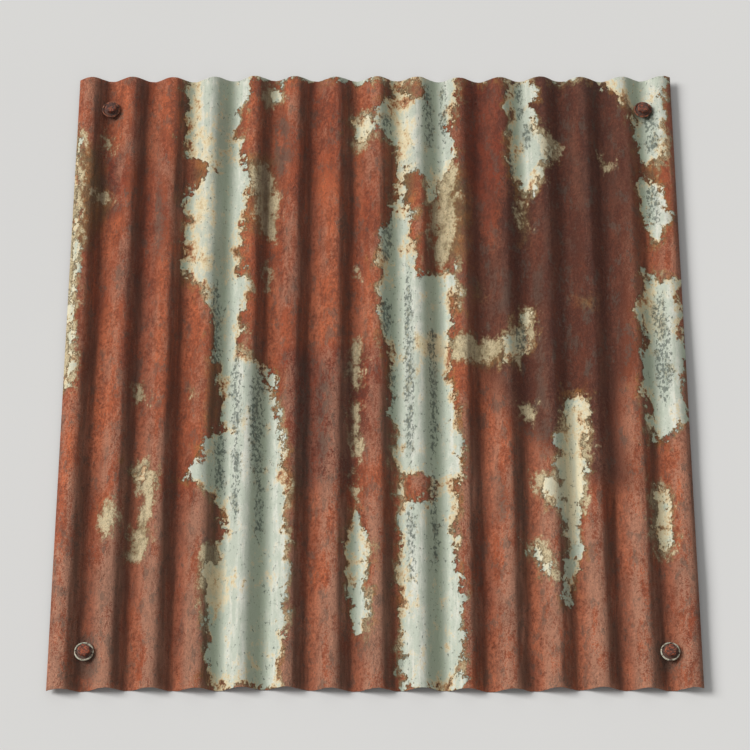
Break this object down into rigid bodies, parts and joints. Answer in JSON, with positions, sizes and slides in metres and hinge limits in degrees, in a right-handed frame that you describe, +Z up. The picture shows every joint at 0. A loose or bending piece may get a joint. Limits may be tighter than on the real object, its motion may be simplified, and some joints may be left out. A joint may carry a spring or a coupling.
{
  "type": "corrugated metal sheet",
  "caption": "Weathered corrugated steel cladding sheet lying flat, with a hex-head screw on a dished washer in the valley near each corner.",
  "frame": {"origin": "on the floor, under the middle of the sheet", "axes": "+X across the corrugations to the right, +Y along the corrugations to the far end, +Z up from the floor to the weather face"},
  "size_m": [1.105, 1.219, 0.0209],
  "materials": {
    "weathered_sheet": "rust-red steel with mauve-brown stains and pale mint-grey islands of old zinc and paint with cream and ochre edges",
    "weathered_washer": "stained zinc, pale on the rim and rusty in the groove",
    "rusted_screw": "pitted red-brown rust"
  },
  "bodies": {
    "root": {"sheet": "weathered_sheet", "washer_near_left": "weathered_washer", "washer_near_right": "weathered_washer", "washer_far_left": "weathered_washer", "washer_far_right": "weathered_washer", "screw_near_left": "rusted_screw", "screw_near_right": "rusted_screw", "screw_far_left": "rusted_screw", "screw_far_right": "rusted_screw"}
  },
  "joints": []
}
